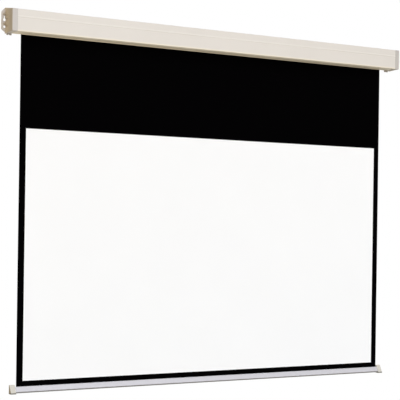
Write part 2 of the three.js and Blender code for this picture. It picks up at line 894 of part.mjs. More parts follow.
function group(name, position, ...children) {
  const made = new THREE.Group();
  made.name = name;
  made.position.set(...position);
  made.add(...children);
  return made;
}

const screen = new THREE.Group();
screen.name = "pull_down_screen";
screen.add(
  group(
    "casing",
    [0, 0, 0],
    casingShell(),
    ...endCaps(),
    ...carriers(),
    ...carrierScrews(),
    ...capScrews(),
    screenCloth(),
    viewingFace(),
  ),
  group(
    "fixed_on_axis",
    [0, rollerY, 0],
    idleBush(),
    springRod(),
    ratchetCam(),
    springCollar(),
    torsionSpring(),
  ),
  group(
    "roller",
    [0, rollerY, 0],
    rollerTube(),
    clothWraps(),
    idlePlug(),
    idlePin(),
    innerPlug(),
    pawlHousing(),
    housingCover(),
    ...pawlsAndPins(),
  ),
  group("bar", [0, -clothToWall, barTop], bottomBar(), clothHem(), hemRod(), ...barCaps()),
);

export default screen;
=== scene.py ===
# %% [markdown]
# # A pull down projector screen
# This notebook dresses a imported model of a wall-hung projector screen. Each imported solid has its
# size and place in metres: +X along the casing, -Y towards the viewer, +Z up, and the origin on
# the wall, in the middle of the casing's back. What the camera can see is modelled again, finer,
# in the same place, and rides on the same moving body.

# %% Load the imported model
import json
import math
from contextlib import contextmanager

import bmesh
import bpy
from mathutils import Matrix, Vector


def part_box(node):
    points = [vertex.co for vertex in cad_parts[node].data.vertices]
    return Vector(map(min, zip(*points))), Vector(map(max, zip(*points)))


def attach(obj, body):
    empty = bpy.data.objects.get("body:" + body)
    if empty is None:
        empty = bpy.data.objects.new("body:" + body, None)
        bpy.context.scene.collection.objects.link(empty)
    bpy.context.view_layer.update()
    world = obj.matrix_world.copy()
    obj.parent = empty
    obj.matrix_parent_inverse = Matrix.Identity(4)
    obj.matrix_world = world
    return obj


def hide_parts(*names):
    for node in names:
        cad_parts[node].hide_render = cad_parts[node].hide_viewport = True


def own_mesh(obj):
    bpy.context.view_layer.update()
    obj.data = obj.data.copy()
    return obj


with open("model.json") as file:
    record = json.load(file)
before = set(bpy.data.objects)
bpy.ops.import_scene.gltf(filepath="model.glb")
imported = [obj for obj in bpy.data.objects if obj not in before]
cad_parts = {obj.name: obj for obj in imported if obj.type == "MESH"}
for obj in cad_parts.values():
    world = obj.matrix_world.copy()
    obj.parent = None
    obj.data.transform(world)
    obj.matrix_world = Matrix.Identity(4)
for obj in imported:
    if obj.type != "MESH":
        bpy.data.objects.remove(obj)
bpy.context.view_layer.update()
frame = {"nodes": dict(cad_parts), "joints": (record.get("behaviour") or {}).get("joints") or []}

MM = 0.001


def mm(*lengths):
    """Lengths in millimetres, turned into the metres that Blender works in."""
    return [length * MM for length in lengths]


# %% [markdown]
# ## The camera
# The camera stands left of the screen and a little lower than its middle. It was worked out from
# the corners of the white area, 16 to 9, and of the cloth. A shifted lens keeps upright lines
# upright.

# %% Camera
camera_place = Vector((-3.0977, -4.7916, -0.8067))
camera_yaw, camera_roll = math.radians(32.3755), math.radians(0.7996)
lens_length, frame_lift = 119.18, 0.0759

level_right = Vector((math.cos(camera_yaw), -math.sin(camera_yaw), 0))
straight_up = Vector((0, 0, 1))
right = level_right * math.cos(camera_roll) + straight_up * math.sin(camera_roll)
upward = straight_up * math.cos(camera_roll) - level_right * math.sin(camera_roll)
backward = right.cross(upward)
turned = Matrix((right, upward, backward)).transposed().to_4x4()
bpy.ops.object.camera_add()
camera = bpy.context.object
camera.name = "camera"
camera.matrix_world = Matrix.Translation(camera_place) @ turned
camera.data.lens = lens_length
camera.data.shift_y = frame_lift
bpy.context.scene.camera = camera
bpy.context.scene.view_settings.view_transform = "Standard"
print("camera looks along", [round(-part, 3) for part in backward])

# %% [markdown]
# ## Light, floor and background
# The photograph is a studio cut-out, lit evenly from the front, with a dim, warm left side. A
# large soft sun lights the front, where a lamp near a screen this wide would leave a bright patch.
# Two weak warm suns reach under the casing and onto its left end. The world adds soft light, dim
# and brown on the left and warm from below, but the camera and the reflections see it plain white.

# %% Lamps
for name, aim, strength, tint_of_light, degrees_wide in (
    ("front_light", (-0.05, 0.88, -0.46), 1.83, (0.828, 0.898, 1.0), 50),
    ("left_light", (0.45, 0.85, 0.15), 0.35, (1.0, 0.84, 0.55), 50),
    ("low_front_light", (-0.10, 0.80, 0.55), 0.14, (1.0, 0.95, 0.85), 60),
):
    turn = Vector(aim).to_track_quat("-Z", "Y").to_euler()
    bpy.ops.object.light_add(type="SUN", rotation=turn)
    lamp = bpy.context.object
    lamp.name = name
    lamp.data.energy, lamp.data.color = strength, tint_of_light
    lamp.data.angle = math.radians(degrees_wide)
    print("lamp:", name, "of strength", strength)


# %% Helpers for shader trees
def put(kind, wires, tree=None, **options):
    """Adds a node, sets its options, wires or fills its inputs, and gives back its outputs."""
    # A wired node needs no tree named, because the socket that a wire comes from knows its own
    is_wire = {socket: isinstance(wires[socket], bpy.types.NodeSocket) for socket in wires}
    tree = tree or next(wires[socket] for socket in wires if is_wire[socket]).id_data
    node = tree.nodes.new("ShaderNode" + kind)
    for option, value in options.items():
        setattr(node, option, value)
    for socket, source in wires.items():
        if is_wire[socket]:
            tree.links.new(source, node.inputs[socket])
        else:
            # A colour is given as red, green and blue, and its socket takes a fourth number
            filled = node.inputs[socket]
            filled.default_value = (*source, 1) if filled.type == "RGBA" else source
    return node.outputs


def bare_tree(owner):
    """Turns on the nodes of a material or a world, and clears them."""
    owner.use_nodes = True
    owner.node_tree.nodes.clear()
    return owner.node_tree


# %% Sums and colours on a surface
def maths(operation, *values, kind="Math", **options):
    return put(kind, dict(enumerate(values)), operation=operation, **options)[0]


def times(first, second):
    return maths("MULTIPLY", first, second)


def larger(first, second):
    return maths("MAXIMUM", first, second)


def spread(value, low, high, to_low=0.0, to_high=1.0):
    """Stretches the range from low to high onto another one, and stops at its ends."""
    wires = {"Value": value, "From Min": low, "From Max": high, "To Min": to_low, "To Max": to_high}
    return put("MapRange", wires, clamp=True)[0]


def mix(factor, first, second, blend="MIX"):
    # A colour mix has its factor at socket 0, its colours at 6 and 7, and its result at 2
    wires = {0: factor, 6: first, 7: second}
    return put("Mix", wires, data_type="RGBA", blend_type=blend)[2]


def tint(colour, other, mask, share):
    """Lays a share of another colour over the colour, where the mask is."""
    return mix(times(mask, share), colour, other)


def noise(place, scale, detail=2.0, roughness=0.5):
    wires = {"Vector": place, "Scale": scale, "Detail": detail, "Roughness": roughness}
    return put("TexNoise", wires)[0]


def split(vector):
    return put("SeparateXYZ", {0: vector})


def facing(place):
    """The X, Y and Z of the direction that the surface faces."""
    return split(put("NewGeometry", {}, place.id_data)["Normal"])


# %% Helpers for what the camera sees
def seen_rays(tree):
    """1 for a ray that looks, also through glass or off gloss, and 0 for one that lights."""
    rays = put("LightPath", {}, tree)
    seen = larger(rays["Is Camera Ray"], rays["Is Glossy Ray"])
    return larger(seen, rays["Is Transmission Ray"])


def blend_shaders(factor, first, second):
    return put("MixShader", {0: factor, 1: first, 2: second})[0]


# %% World
world = bpy.data.worlds.new("studio")
bpy.context.scene.world = world
sky = bare_tree(world)
dim_left, pale_right = (0.53, 0.31, 0.0), (0.47, 0.475, 0.49)
warm_below, plain_white = (0.60, 0.54, 0.40), (1, 1, 1)
from_x, _, from_z = split(put("TexCoord", {}, sky)["Generated"])
around = mix(spread(from_x, -0.95, -0.25), dim_left, pale_right)
around = mix(spread(from_z, 0.0, -0.85), around, warm_below)
soft_light = put("Background", {"Color": around})[0]
white_wall = put("Background", {"Color": plain_white}, sky)[0]
put("OutputWorld", {"Surface": blend_shaders(seen_rays(sky), soft_light, white_wall)})
print("world nodes:", len(sky.nodes))

# %% [markdown]
# The floor lies well below the screen. Its pale paint takes the screen's shadow and fades into the
# white background. From underneath it is clear, so it hides nothing from a low camera.

# %% Floor
floor_drop, floor_radius = 2.30, 3.6
fade_start, fade_end, least_white = 1.6, floor_radius * 0.95, 0.55
bpy.ops.mesh.primitive_circle_add(
    vertices=96, radius=floor_radius, fill_type="NGON", location=(0, 0, -floor_drop)
)
floor = bpy.context.object
floor.name = "floor"
floor_paint = bpy.data.materials.new("floor_paint")
tree = bare_tree(floor_paint)
here = put("TexCoord", {}, tree)["Object"]
away = put("VectorMath", {0: here}, operation="LENGTH")["Value"]
fade = spread(away, fade_start, fade_end, least_white, 1.0)
matt = put("BsdfDiffuse", {"Color": (0.88, 0.85, 0.73)}, tree)[0]
shining = put("Emission", {"Color": plain_white}, tree)[0]
upper_side = blend_shaders(times(seen_rays(tree), fade), matt, shining)
from_below = put("NewGeometry", {}, tree)["Backfacing"]
clear = put("BsdfTransparent", {}, tree)[0]
put("OutputMaterial", {"Surface": blend_shaders(from_below, upper_side, clear)})
floor.data.materials.append(floor_paint)
print("floor at", -floor_drop)


# %% [markdown]
# ## Effects that several finishes share
# Each effect is a node group, built once and used by several finishes with their own values. It
# puts out only colours, masks and heights, which can be baked, and it works in metres. A function
# wires the inputs up, and the line above the function makes it a group.

# %% Helper for node groups
SOCKETS = {type(None): "NodeSocketVector", tuple: "NodeSocketColor", float: "NodeSocketFloat"}


def effect(*outputs, **inputs):
    """Makes a node group of a function. Gives its outputs' names, and its inputs' defaults."""

    def build(wire_up):
        group = bpy.data.node_groups.new(wire_up.__name__, "ShaderNodeTree")
        add_socket = group.interface.new_socket
        for label, value in inputs.items():
            socket = add_socket(label, in_out="INPUT", socket_type=SOCKETS[type(value)])
            if value is not None:
                socket.default_value = value
        for label in outputs:
            kind = SOCKETS[tuple if label == "Colour" else float]
            add_socket(label, in_out="OUTPUT", socket_type=kind)
        given = group.nodes.new("NodeGroupInput").outputs
        out = group.nodes.new("NodeGroupOutput").inputs
        results = wire_up(*(given[label] for label in inputs))
        for label, result in zip(outputs, results):
            group.links.new(result, out[label])
        print("group:", group.name)
        return group

    return build


# %% [markdown]
# Paint, plastic and cloth are never one even colour: the tone drifts a little over a hand's
# breadth.

# %% Tone drift
@effect("Colour", Place=None, Colour=(0.8, 0.8, 0.8, 1), Patches=6.0, Amount=0.03)
def tone_drift(place, colour, patches, amount):
    swing = maths("SUBTRACT", noise(place, patches, 3.0, 0.55), 0.5)
    tone = maths("ADD", times(times(swing, amount), 2.0), 1.0)
    return [mix(1.0, colour, tone, "MULTIPLY")]


# %% [markdown]
# Powder coat has a faint orange peel, and moulded plastic fine pits. Both are grains of rounded
# bumps, whose valleys also shine a little less.

# %% Fine grain
@effect("Height", "Dull", Place=None, Grains=900.0, Peel=0.5)
def fine_grain(place, grains, peel):
    pit_scale, pit_share = times(grains, 1.7), maths("SUBTRACT", 1.0, peel)
    pits = put("TexVoronoi", {"Vector": place, "Scale": pit_scale})[0]
    rounded = times(noise(place, grains), peel)
    height = maths("ADD", rounded, times(pits, pit_share))
    return [height, spread(height, 0.7, 0.2)]


# %% [markdown]
# Edges are knocked first. A point lies near an edge of a box when it lies near two of its faces,
# so the middle one of its distances to them says how near. A noise breaks the line up.

# %% Edge rub
@effect("Mask", Place=None, Low=None, High=None, Reach=0.003)
def edge_rub(place, low, high, reach):
    lower = maths("SUBTRACT", place, low, kind="VectorMath")
    upper = maths("SUBTRACT", high, place, kind="VectorMath")
    x, y, z = split(maths("MINIMUM", lower, upper, kind="VectorMath"))
    least = maths("MINIMUM", x, y)
    middle_one = larger(least, maths("MINIMUM", larger(x, y), z))
    ragged = spread(noise(place, 260.0, 4.0), 0.35, 0.75, 0.05, 1.6)
    near_edge = maths("DIVIDE", middle_one, times(reach, ragged))
    return [spread(near_edge, 1.0, 0.3)]


# %% [markdown]
# Dust settles on what faces up, the casing's top above all. A patchy noise keeps it uneven.

# %% Settled dust
@effect("Mask", Place=None)
def settled_dust(place):
    patches = spread(noise(place, 38.0, 5.0), 0.3, 0.75)
    specks = spread(noise(place, 1100.0), 0.35, 0.7)
    facing_up = spread(facing(place)["Z"], 0.6, 0.95)
    return [times(times(patches, specks), facing_up)]


# %% [markdown]
# The lowest few millimetres at the foot are darker. A noise roughens the line.

# %% Foot darkening
# A dark tone, for the darker band at the foot and for painted shade on the caps' sides.
DARK_TONE = (0.115, 0.108, 0.092)


@effect("Mask", Place=None, Foot=0.0, Reach=0.005)
def foot_darkening(place, foot, reach):
    above = maths("SUBTRACT", split(place)["Z"], foot)
    smudges = spread(noise(place, 90.0, 4.0), 0.3, 0.7, -0.05, 0.05)
    ragged = maths("ADD", maths("DIVIDE", above, reach), smudges)
    return [spread(ragged, 1.06, 0.74)]


# %% [markdown]
# A die leaves fine lines along what is drawn or extruded. Coordinates squeezed along X draw a
# noise out into such lines.

# %% Draw lines
@effect("Height", "Tone", Place=None, Stretch=0.01, Lines=700.0)
def draw_lines(place, stretch, lines):
    x, y, z = split(place)
    drawn = put("CombineXYZ", {0: times(x, stretch), 1: y, 2: z})[0]
    height = noise(drawn, lines, 3.0)
    return [height, spread(height, 0.3, 0.7)]


# %% [markdown]
# The cloth is a plain weave under a matt coat, which stands up a trace where a thread passes over.
# The weave follows the UV map, so it moves with the cloth when the screen goes up.

# %% Plain weave
@effect("Height", "Tone", Place=None, Thread=0.0006)
def plain_weave(place, thread):
    u, v, _ = split(place)
    turns = maths("DIVIDE", math.pi, thread)
    over, under = (maths("SINE", times(way, turns)) for way in (u, v))
    slubs = noise(place, 420.0, 3.0)
    height = maths("ADD", times(times(over, under), 0.5), slubs)
    return [height, spread(slubs, 0.3, 0.7)]


# %% [markdown]
# ## The finishes
# Every finish ends in a Principled shader whose plain numbers stand on its own sockets. What
# changes over the surface comes from the groups.

# %% Helpers for finishes
def start_finish(name, coordinates="Object"):
    """A new material, and the coordinates that its patterns follow."""
    material = bpy.data.materials.new(name)
    print("finish:", name)
    return material, put("TexCoord", {}, bare_tree(material))[coordinates]


def use(group, place, **values):
    """Places an effect. It gives back its outputs, or its output if it has only one."""
    outputs = put("Group", {"Place": place, **values}, node_tree=group)
    return outputs if len(outputs) > 1 else outputs[0]


def between(mask, low, high):
    return spread(mask, 0.0, 1.0, low, high)


def end_finish(colour, rough, height, depth, strength=1.0, **plain):
    """Raises the bumps, and adds the shader with its plain numbers."""
    bumps = put("Bump", {"Height": height, "Distance": depth, "Strength": strength})[0]
    wires = {label.replace("_", " "): value for label, value in plain.items()}
    wires.update({"Base Color": colour, "Roughness": rough, "Normal": bumps})
    put("OutputMaterial", {"Surface": put("BsdfPrincipled", wires)[0]})


# %% [markdown]
# The casing has a warm white powder coat with a faint peel, paler along its folds from wear, and
# dusty on top. A painted highlight lies on the upper flank of its raised line, and a pale, warm one
# just above its foot, past which the bar is pulled. Painted shade darkens it towards its right end,
# most underneath and on the lip.

# %% Casing paint
lip_drop = 3.0 * MM
bead_height_share = 0.635
warm_white, foot_highlight_white = (0.722, 0.682, 0.642), (0.80, 0.735, 0.63)
painted_shade_tone, worn_and_lit_paint = (0.30, 0.275, 0.23), (0.83, 0.80, 0.75)
casing_dust = (0.50, 0.47, 0.43)
low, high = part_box("casing_shell")
foot_z = low.z + lip_drop
flank_z = foot_z + (high.z - foot_z) * bead_height_share + 3.4 * MM
casing_paint, here = start_finish("casing_paint")
along, _, height = split(here)
# Painted highlight: a pale, warm band just above the foot, where warm light from below falls.
foot_highlight_mask = spread(height, foot_z + 8 * MM, foot_z + 4.5 * MM)
paint = use(tone_drift, here, Colour=warm_white, Patches=5.0, Amount=0.035)
colour = mix(foot_highlight_mask, paint, foot_highlight_white)
# Painted shade: the casing is darker towards its right end, a little all over and most underneath
# and on the lip.
looks_down = spread(facing(here)["Z"], -0.6, -0.9)
on_lip = spread(height, foot_z, foot_z - 0.3 * MM)
right_end_shade = times(larger(larger(looks_down, on_lip), 0.14), 0.45)
colour = mix(times(right_end_shade, spread(along, -0.5, 0.8)), colour, painted_shade_tone)
worn = use(edge_rub, here, Low=low, High=high, Reach=2.5 * MM)
# Painted highlight on the upper flank of the raised line; the same paler colour is real wear on
# rubbed folds.
from_flank = maths("ABSOLUTE", maths("SUBTRACT", height, flank_z))
flank_highlight = times(spread(from_flank, 4.2 * MM, 2.2 * MM), 0.20)
worn_and_lit = larger(times(worn, 0.35), flank_highlight)
colour = mix(worn_and_lit, colour, worn_and_lit_paint)
dust = use(settled_dust, here)
colour = tint(colour, casing_dust, dust, 0.30)
grain = use(fine_grain, here, Grains=620.0, Peel=0.85)
rough = between(grain["Dull"], 0.40, 0.50)
rough = maths("ADD", rough, times(dust, 0.3), use_clamp=True)
end_finish(colour, rough, grain["Height"], 0.015 * MM, Specular_IOR_Level=0.35)

# %% [markdown]
# All four caps are warm light grey plastic, a little darker than the paint, with finer pits.
# Corners are rubbed paler, and each foot is darker. A side carries painted shade, on the bar caps
# all over and on the end caps at the front, and the end caps' sides get a painted light near the
# wall.

# %% Moulded plastic
cap_dust = (0.44, 0.41, 0.37)


def cap_plastic_on(node, base, worn_and_lit, foot_share, shade_front, shade_back, light_back):
    """Dark tone on the foot, and painted shade on a side at its front and back; painted light at its
    back.
    """
    low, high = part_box(node)
    material, here = start_finish(f"{node}_plastic")
    worn = use(edge_rub, here, Low=low, High=high, Reach=1.6 * MM)
    dust = use(settled_dust, here)
    foot_band = use(foot_darkening, here, Foot=low.z, Reach=6.5 * MM)
    # Painted shade on a side, and on the end caps painted light near the wall.
    sideways = spread(maths("ABSOLUTE", facing(here)["X"]), 0.75, 0.95)
    depth = split(here)["Y"]
    front_y, back_y = low.y * 0.75, low.y * 0.25
    painted_side_shade = times(sideways, spread(depth, front_y, back_y, shade_front, shade_back))
    painted_side_light = times(sideways, spread(depth, front_y, back_y, 0.0, light_back))
    paler_worn_and_lit = larger(times(worn, 0.4), painted_side_light)
    colour = mix(paler_worn_and_lit, use(tone_drift, here, Colour=base, Patches=22.0, Amount=0.05), worn_and_lit)
    colour = tint(colour, cap_dust, dust, 0.35)
    colour = mix(larger(times(foot_band, foot_share), painted_side_shade), colour, DARK_TONE)
    grain = use(fine_grain, here, Grains=1500.0, Peel=0.35)
    rough = between(grain["Dull"], 0.46, 0.62)
    rough = maths("SUBTRACT", rough, times(worn, 0.12))
    end_finish(colour, rough, grain["Height"], 0.05 * MM, Specular_IOR_Level=0.25)
    return material


# Each tuple: rubbed colour, foot share, painted shade on a side at its front and back, painted light
# at its back.
end_cap_wear_and_shade = ((0.66, 0.62, 0.58), 0.25, 0.16, 0.0, 0.9)
bar_cap_wear_and_shade = ((0.70, 0.67, 0.61), 0.78, 0.50, 0.50, 0.0)
cap_plastics = {
    node: cap_plastic_on(node, base, *wear_and_shade)
    for node, base, wear_and_shade in (
        ("left_end_cap", (0.572, 0.535, 0.512), end_cap_wear_and_shade),
        # The right end cap is the same plastic, coloured darker as painted shade where the light
        # falls off to the right.
        ("right_end_cap", (0.510, 0.478, 0.455), end_cap_wear_and_shade),
        ("left_bar_cap", (0.645, 0.615, 0.552), bar_cap_wear_and_shade),
        ("right_bar_cap", (0.645, 0.615, 0.552), bar_cap_wear_and_shade),
    )
}

# %% [markdown]
# The weight bar is extruded aluminium under a pale, slightly lilac coat. The die's lines still
# show along it, and its lower edge is darker.

# %% Bar coat
pale_lilac, line_lilac = (0.556, 0.540, 0.572), (0.49, 0.474, 0.512)
rubbed_lilac = (0.64, 0.63, 0.67)
low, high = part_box("bottom_bar")
bar_coat, here = start_finish("bar_aluminium")
lines = use(draw_lines, here, Stretch=0.008, Lines=900.0)
worn = use(edge_rub, here, Low=low, High=high, Reach=1.2 * MM)
foot_band = use(foot_darkening, here, Foot=low.z, Reach=6.2 * MM)
colour = use(tone_drift, here, Colour=pale_lilac, Patches=9.0, Amount=0.04)
colour = tint(colour, line_lilac, lines["Tone"], 0.16)
colour = tint(colour, rubbed_lilac, worn, 0.5)
colour = tint(colour, DARK_TONE, foot_band, 0.85)
rough = between(lines["Tone"], 0.36, 0.50)
plain = {"Specular_IOR_Level": 0.45, "Metallic": 0.15}
end_finish(colour, rough, lines["Height"], 0.03 * MM, **plain)

# %% [markdown]
# The cloth is matt black on both sides, so that no light passes it, and its viewing area matt
# white. Both show a trace of the weave.

# %% Screen cloth
def cloth_finish(name, colour, slub_colour, slub_share, specular, depth):
    material, place = start_finish(name, "UV")
    weave = use(plain_weave, place, Thread=0.6 * MM)
    tone = use(tone_drift, place, Colour=colour, Patches=3.0, Amount=0.02)
    shade = tint(tone, slub_colour, weave["Tone"], slub_share)
    rough = between(weave["Tone"], 0.84, 0.96)
    end_finish(shade, rough, weave["Height"], depth, 0.5, Specular_IOR_Level=specular)
    return material


black, black_slub = (0.0008, 0.0007, 0.0009), (0.0018, 0.0016, 0.0019)
white, white_slub = (0.928, 0.933, 0.955), (0.90, 0.905, 0.925)
black_cloth = cloth_finish("black_cloth", black, black_slub, 0.6, 0.0, 0.04 * MM)
white_coat = cloth_finish("white_coat", white, white_slub, 0.3, 0.05, 0.02 * MM)

# %% [markdown]
# Inside are bright zinc plate with a faint cloudy spangle, dark oiled steel and natural nylon.
# Drawn marks run along the roller's axis.

# %% Steel and nylon
def steel_finish(name, colour, cloud_colour, rough_low, rough_high, lines_share):
    material, here = start_finish(name)
    cells = put("TexVoronoi", {"Vector": here, "Scale": 240.0})["Distance"]
    tone = use(tone_drift, here, Colour=colour, Patches=60.0, Amount=0.10)
    cloudy = tint(tone, cloud_colour, cells, 0.5)
    lines = use(draw_lines, here, Stretch=0.03, Lines=1400.0)["Height"]
    dull = use(fine_grain, here, Grains=800.0, Peel=0.7)["Dull"]
    rough = between(dull, rough_low, rough_high)
    end_finish(cloudy, rough, times(lines, lines_share), 0.03 * MM, Metallic=1.0)
    return material


zinc, zinc_cloud = (0.56, 0.57, 0.58), (0.66, 0.67, 0.67)
oiled, oiled_cloud = (0.10, 0.11, 0.12), (0.16, 0.16, 0.17)
zinc_steel = steel_finish("zinc_steel", zinc, zinc_cloud, 0.26, 0.42, 1.0)
dark_steel = steel_finish("dark_steel", oiled, oiled_cloud, 0.34, 0.52, 0.6)

nylon, here = start_finish("nylon")
colour = use(tone_drift, here, Colour=(0.76, 0.735, 0.66), Patches=45.0, Amount=0.06)
grain = use(fine_grain, here, Grains=1300.0, Peel=0.5)
rough = between(grain["Dull"], 0.42, 0.58)
plain = {"Specular_IOR_Level": 0.45, "Subsurface_Weight": 0.08, "Subsurface_Scale": 2 * MM}
end_finish(colour, rough, grain["Height"], 0.04 * MM, **plain)

# %% [markdown]
# ## Ways of working
# Each piece starts as a primitive and is shaped in edit mode. Its faces and edges are picked by
# place, so the script always picks the same ones. Its place goes into its mesh, and its object
# stays at the origin, unturned and unscaled.

# %% Helpers for objects
def alone(piece):
    """Leaves only this piece selected and active."""
    bpy.ops.object.select_all(action="DESELECT")
    piece.select_set(True)
    bpy.context.view_layer.objects.active = piece


def throw_away(piece):
    alone(piece)
    bpy.ops.object.delete()


def copy_of(piece):
    alone(piece)
    bpy.ops.object.duplicate()
    return bpy.context.object


def settle(name):
    """Gives the primitive just added its name, and puts its place into its mesh."""
    made = bpy.context.object
    made.name = name
    bpy.ops.object.transform_apply(location=True, rotation=True, scale=True)
    return made


def apply_tool(piece, kind, **settings):
    """Adds a modifier, sets it and applies it."""
    alone(piece)
    tool = piece.modifiers.new(kind.lower(), kind)
    for setting, value in settings.items():
        setattr(tool, setting, value)
    bpy.ops.object.modifier_apply(modifier=tool.name)


# %% Helpers for picking by place
CLOSE = 1e-5


def near(point, **place):
    return all(abs(getattr(point, axis) - value) < CLOSE for axis, value in place.items())


def middle(edge):
    return (edge.verts[0].co + edge.verts[1].co) / 2


def runs_along(axis, **place):
    """A test for edges along an axis, 0 for X and 1 for Y, whose middles lie at the place."""

    def test(edge):
        step = edge.verts[1].co - edge.verts[0].co
        return abs(step.normalized()[axis]) > 0.999 and near(middle(edge), **place)

    return test


def lies_at(**place):
    """A test for edges that lie wholly at the place."""
    return lambda edge: all(near(vert.co, **place) for vert in edge.verts)


def pick(piece, kind, test):
    """In edit mode, selects the vertices, edges or faces that pass the test."""
    bpy.ops.mesh.select_mode(type=kind)
    bpy.ops.mesh.select_all(action="DESELECT")
    form = bmesh.from_edit_mesh(piece.data)
    for part in {"VERT": form.verts, "EDGE": form.edges, "FACE": form.faces}[kind]:
        if test(part):
            part.select_set(True)
    bmesh.update_edit_mesh(piece.data)


# %% Helpers for edit mode
@contextmanager
def editing(piece, kind=None, test=None):
    """Edit mode for a with block, with all of the piece selected, or what passes the test."""
    alone(piece)
    bpy.ops.object.mode_set(mode="EDIT")
    if test:
        pick(piece, kind, test)
    else:
        bpy.ops.mesh.select_all(action="SELECT")
    yield
    bpy.ops.object.mode_set(mode="OBJECT")


def shift(*way):
    bpy.ops.transform.translate(value=way)


def pull_out(*way):
    bpy.ops.mesh.extrude_region_move(TRANSFORM_OT_translate={"value": way})


def cut_off(point, outward):
    """Cuts all that is selected with a plane, and closes the cut."""
    normal = Vector(outward).normalized()
    bpy.ops.mesh.bisect(plane_co=point, plane_no=normal, use_fill=True, clear_outer=True)


def round_edges(piece, test, reach, segments):
    """Bevels the edges that pass the test."""
    how = {"offset_type": "OFFSET", "profile": 0.5, "affect": "EDGES"}
    with editing(piece, "EDGE", test):
        bpy.ops.mesh.bevel(offset=reach, segments=segments, **how)


# %% Helpers for solid shapes
def block(name, low, high):
    low, high = Vector(low), Vector(high)
    bpy.ops.mesh.primitive_cube_add(size=1, location=(low + high) / 2, scale=high - low)
    return settle(name)


def rod(name, start, end, radius, end_radius=None, sides=40):
    """A cylinder, or a cone, from one point to another."""
    start, end = Vector(start), Vector(end)
    bpy.ops.mesh.primitive_cone_add(
        vertices=sides,
        radius1=radius,
        radius2=radius if end_radius is None else end_radius,
        depth=(end - start).length,
        location=(start + end) / 2,
        rotation=(end - start).to_track_quat("Z", "Y").to_euler(),
    )
    return settle(name)


def combine(piece, other, operation):
    """Joins the other shape to the piece, cuts it away, or keeps what they share."""
    apply_tool(piece, "BOOLEAN", operation=operation, object=other, solver="EXACT")
    throw_away(other)


def join(piece, other):
    combine(piece, other, "UNION")


def cut(piece, other):
    combine(piece, other, "DIFFERENCE")


def tell(piece):
    print(piece.name, "has", len(piece.data.polygons), "faces")


# %% Handing a piece over
ROUND_ANGLE = math.radians(35)
SPECK = 1e-6


def measure(piece):
    """The volume inside the mesh, and how many of its edges are open."""
    form = bmesh.new()
    form.from_mesh(piece.data)
    return form.calc_volume(signed=True), sum(not edge.is_manifold for edge in form.edges)


def finish_piece(piece, node, body, material):
    """Cleans the mesh, gives it its finish, puts it on its body and hides the imported part."""
    with editing(piece):
        bpy.ops.mesh.remove_doubles(threshold=SPECK)
        bpy.ops.mesh.dissolve_degenerate(threshold=SPECK)
    if measure(piece)[0] < 0:
        with editing(piece):
            bpy.ops.mesh.flip_normals()
    bpy.ops.object.shade_smooth_by_angle(angle=ROUND_ANGLE)
    apply_tool(piece, "WEIGHTED_NORMAL", keep_sharp=True)
    piece.data.materials.clear()
    piece.data.materials.append(material)
    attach(piece, body)
    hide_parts(node)
    volume, open_edges = measure(piece)
    faces = len(piece.data.polygons)
    print(f"{piece.name}: {faces} faces, {volume * 1e6:.1f} cm3, {open_edges} open edges")


# %% [markdown]
# A folded sheet and an extruded bar are made alike: one edge, kept from a plane, is pulled along
# the outline, each fold is rounded, and the sheet gets its thickness.

# %% Pulling a sheet along an outline
def pull_sheet(name, outline, low_x, high_x):
    length = high_x - low_x
    bpy.ops.mesh.primitive_plane_add(size=length, location=((low_x + high_x) / 2, 0, 0))
    sheet = settle(name)
    with editing(sheet, "VERT", lambda v: v.co.y > 0):
        bpy.ops.mesh.delete(type="VERT")
        bpy.ops.mesh.select_all(action="SELECT")
        first_y, first_z = outline[0]
        shift(0, first_y + length / 2, first_z)
        for (y, z), (next_y, next_z) in zip(outline, outline[1:]):
            pull_out(0, next_y - y, next_z - z)
    return sheet


def round_folds(sheet, outline, radii, segments):
    """Rounds the fold at each numbered corner of the outline to its outside radius."""
    for corner, radius in radii.items():
        (ay, az), (by, bz), (cy, cz) = outline[corner - 1 : corner + 2]
        bend = Vector((by - ay, bz - az)).angle(Vector((cy - by, cz - bz)))
        round_edges(sheet, runs_along(0, y=by, z=bz), radius * math.tan(bend / 2), segments)


def thicken(sheet, wall, side):
    """Gives a sheet its wall. Side is 1 with its normals, -1 against them and 0 for both."""
    apply_tool(sheet, "SOLIDIFY", thickness=wall, offset=side, use_even_offset=True)


def thicken_inwards(sheet, wall, front_y):
    """The largest face in front of front_y tells which way the pulled faces look."""
    faces = sheet.data.polygons
    front_face = max(faces, key=lambda face: face.area if face.center.y < front_y else 0)
    thicken(sheet, wall, -1 if front_face.normal.y < 0 else 1)


# %% [markdown]
# ## The casing
# The casing is one strip of folded steel. Its outline runs from a hem behind the slot up the wall,
# over the top, down the front, round the foot and through a shallow channel to a lip before the
# slot. The raised line swells out gently from above and drops back sharply, so light from above
# draws it as a pale and a dark line.

# %% Casing outline
casing_low, casing_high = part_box("casing_shell")
casing_wall = 1.0 * MM
bead_rise, hem_rise = mm(0.6, 4.5)
slot_back, lip_front = mm(-4.5, -20.5)
foot, top = casing_low.z + lip_drop, casing_high.z
front = casing_low.y + bead_rise
bead_z = foot + (top - foot) * bead_height_share
channel_near, channel_far = front + 7.5 * MM, front + 29.5 * MM
channel_depth, channel_slope = mm(3.4, 3.0)
# The raised line, in millimetres from the front and from its own height
raised_line = [(0, 6.8), (-0.08, 6.1), (-0.6, 0.8), (-0.6, 0.2), (0.35, -1), (0.35, -2), (0, -2.8)]
casing_outline = [
    (slot_back, foot + hem_rise),
    (slot_back, foot),
    (0, foot),
    (0, top),
    (front, top),
    *((front + y * MM, bead_z + z * MM) for y, z in raised_line),
    (front, foot),
    (channel_near, foot),
    (channel_near + channel_slope, foot + channel_depth),
    (channel_far - channel_slope, foot + channel_depth),
    (channel_far, foot),
    (lip_front, foot),
    (lip_front, foot - lip_drop),
]
print("casing outline:", len(casing_outline), "corners, front at", round(front, 4))

